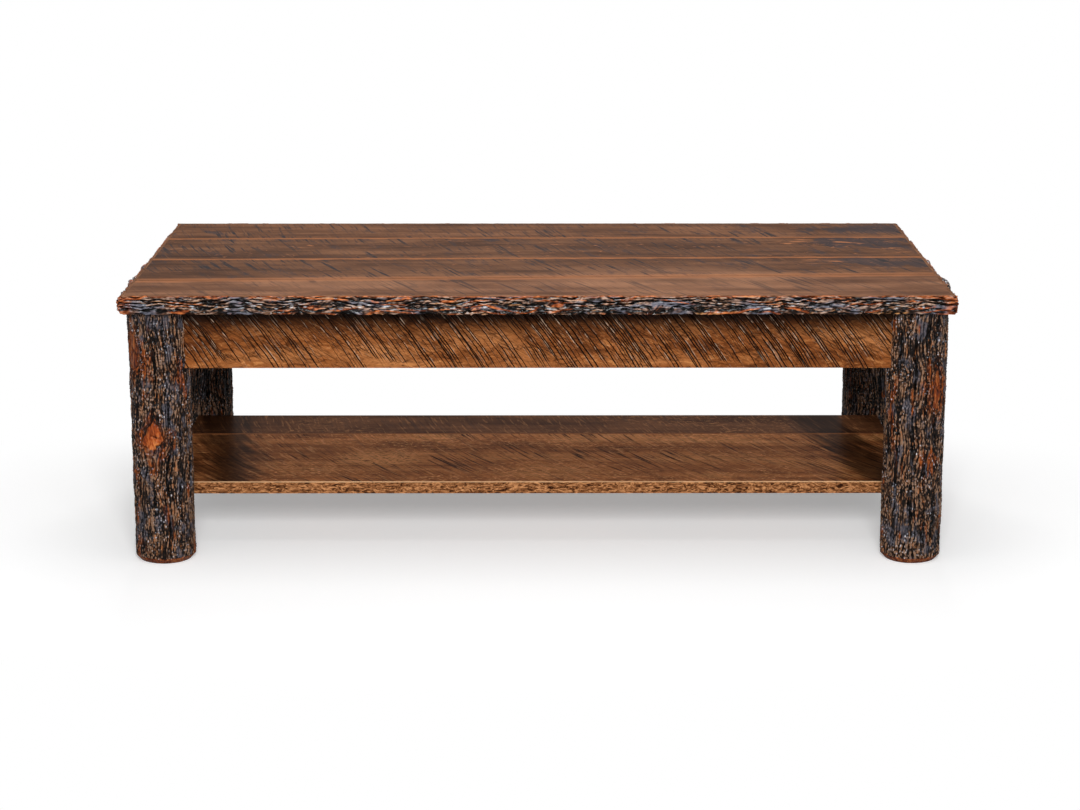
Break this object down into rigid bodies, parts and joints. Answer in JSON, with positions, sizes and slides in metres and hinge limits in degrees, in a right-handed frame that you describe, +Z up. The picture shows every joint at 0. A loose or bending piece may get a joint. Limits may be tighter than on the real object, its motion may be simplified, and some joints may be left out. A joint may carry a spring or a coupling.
{
  "type": "rustic coffee table",
  "caption": "Low rustic table: bark-covered hickory log legs, rough-sawn aprons, a plank top edged with bark and a low plank shelf between the logs.",
  "frame": {"origin": "centre of the bounding box on the floor plane, under the middle of the top", "axes": "+Z up; X along the table's length, +X to the right seen from the front; the front faces -Y"},
  "size_m": [1.372, 0.712, 0.462],
  "materials": {
    "hickory_bark": "dark furrowed bark under a glossy lacquer",
    "bark_edging": "flat strip of bark under a glossy lacquer",
    "rough_sawn_top": "stained rough-sawn planks under a satin lacquer",
    "rough_sawn_apron": "stained board with deep saw kerfs, satin",
    "rough_sawn_shelf": "stained rough-sawn boards, satin",
    "plain_wood": "planed, unstained hidden framing",
    "steel": "zinc-plated wood screws and nails"
  },
  "bodies": {
    "root": {"apron_back": "rough_sawn_apron", "apron_front": "rough_sawn_apron", "apron_left": "rough_sawn_apron", "apron_right": "rough_sawn_apron", "bark_edge_back": "bark_edging", "bark_edge_front": "bark_edging", "bark_edge_left": "bark_edging", "bark_edge_right": "bark_edging", "bark_nails": "steel", "cleat_back": "plain_wood", "cleat_front": "plain_wood", "cleat_left": "plain_wood", "cleat_right": "plain_wood", "cleat_screws": "steel", "leg_back_left": "hickory_bark", "leg_back_right": "hickory_bark", "leg_front_left": "hickory_bark", "leg_front_right": "hickory_bark", "shelf_batten_1": "plain_wood", "shelf_batten_2": "plain_wood", "shelf_batten_screws": "steel", "shelf_board_back": "rough_sawn_shelf", "shelf_board_front": "rough_sawn_shelf", "shelf_dowels": "plain_wood", "shelf_rail_left": "plain_wood", "shelf_rail_right": "plain_wood", "shelf_rail_screws": "steel", "tenon_screws": "steel", "top_batten_1": "plain_wood", "top_batten_2": "plain_wood", "top_batten_3": "plain_wood", "top_batten_screws": "steel", "top_dowels": "plain_wood", "top_fixing_screws": "steel", "top_plank_back": "rough_sawn_top", "top_plank_front": "rough_sawn_top", "top_plank_front_middle": "rough_sawn_top", "top_plank_rear_middle": "rough_sawn_top"}
  },
  "joints": []
}
